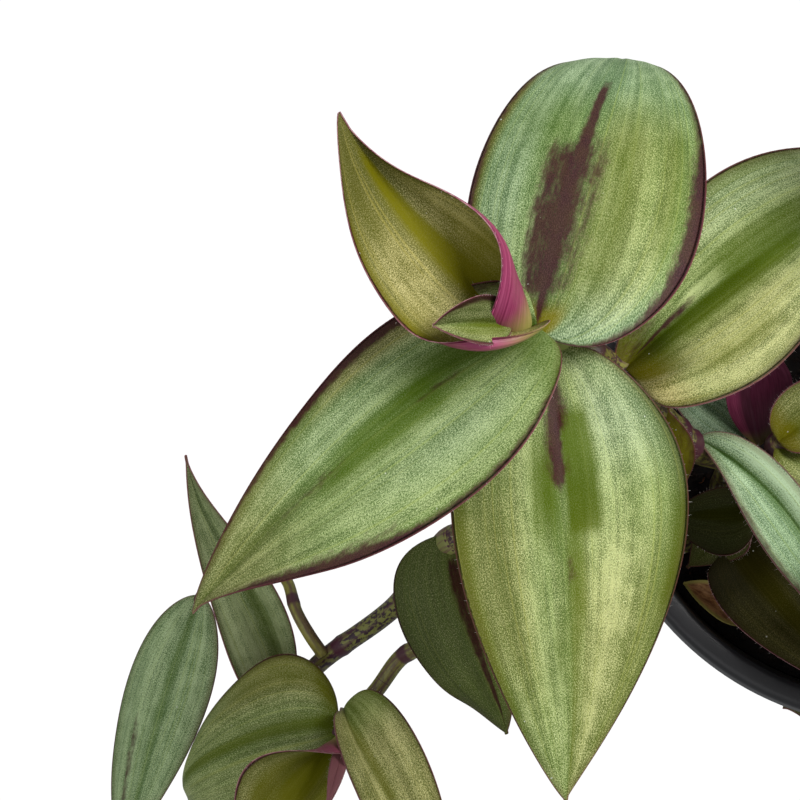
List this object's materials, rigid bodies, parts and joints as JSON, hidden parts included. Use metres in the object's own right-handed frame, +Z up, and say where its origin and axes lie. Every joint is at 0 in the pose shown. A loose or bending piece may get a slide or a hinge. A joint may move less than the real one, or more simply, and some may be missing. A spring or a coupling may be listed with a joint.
{
  "type": "potted tradescantia",
  "caption": "Bushy trailing tradescantia with broad silver-green, purple-edged leaves on jointed stems, in a round black plastic nursery pot filled with soil.",
  "frame": {"origin": "centre of the pot's flat base, on the surface it stands on", "axes": "+Z up along the pot's axis; the tall stem with the crown of large leaves and the trailing stems lean out over the rim towards -X"},
  "size_m": [0.2919, 0.2713, 0.1766],
  "materials": {
    "pot_plastic": "satin",
    "soil": "matte",
    "leaf": "satin",
    "dry_leaf": "matte"
  },
  "bodies": {
    "root": {"pot": "pot_plastic", "soil": "soil", "leafy_stem_crown": "leaf", "leafy_stem_trailing": "leaf", "leafy_stem_heart": "leaf", "leafy_stem_low": "leaf", "withered_leaf": "dry_leaf", "leafy_stem_back": "leaf", "leafy_stem_back_right": "leaf", "leafy_stem_right": "leaf", "leafy_stem_front_right": "leaf", "leafy_stem_front": "leaf", "leafy_stem_front_low": "leaf", "leafy_stem_top": "leaf", "leafy_stem_top_front": "leaf", "leafy_stem_top_back": "leaf", "leafy_stem_side": "leaf"}
  },
  "joints": []
}
